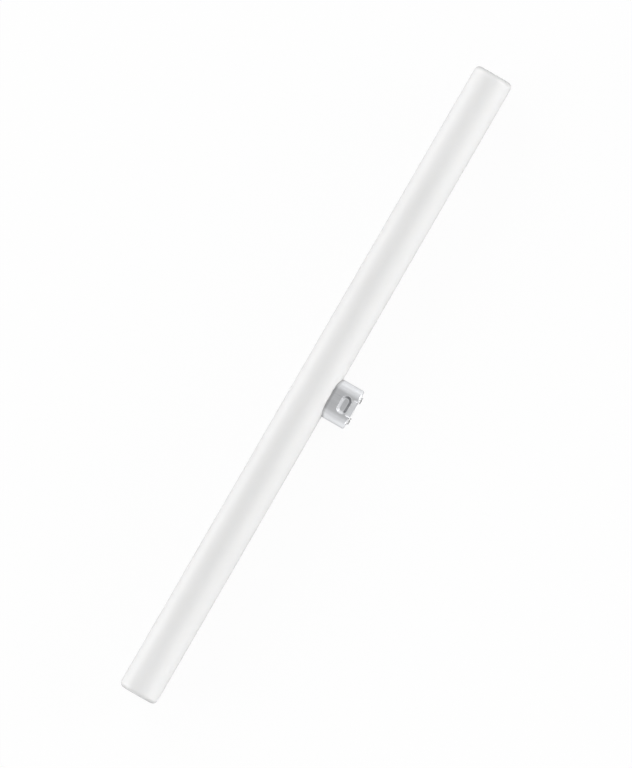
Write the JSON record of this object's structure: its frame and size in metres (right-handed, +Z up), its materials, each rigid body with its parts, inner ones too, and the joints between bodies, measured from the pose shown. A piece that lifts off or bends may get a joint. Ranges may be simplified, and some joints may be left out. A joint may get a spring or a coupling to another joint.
{
  "type": "tubular light bulb",
  "caption": "Opal white tubular light bulb with a plug-in aluminium cap at the middle of its tube, latch pockets on the cap and round end contacts.",
  "frame": {"origin": "on the table under the middle of the lamp's box, as the lamp lies at rest on its tube and cap", "axes": "+X along the tube, -Y the way the cap points, +Z up from the table"},
  "size_m": [0.5, 0.0476, 0.029],
  "materials": {
    "opal": "satin opal white",
    "drawn_aluminium": "satin, drawn and pressed sheet",
    "plate_plastic": "moulded, fine grain",
    "contact_metal": "nickel plated, lightly rubbed"
  },
  "bodies": {
    "root": {"opal_tube": "opal", "cap_shell": "drawn_aluminium", "contact_plate": "plate_plastic", "contact_left": "contact_metal", "contact_right": "contact_metal"}
  },
  "joints": []
}
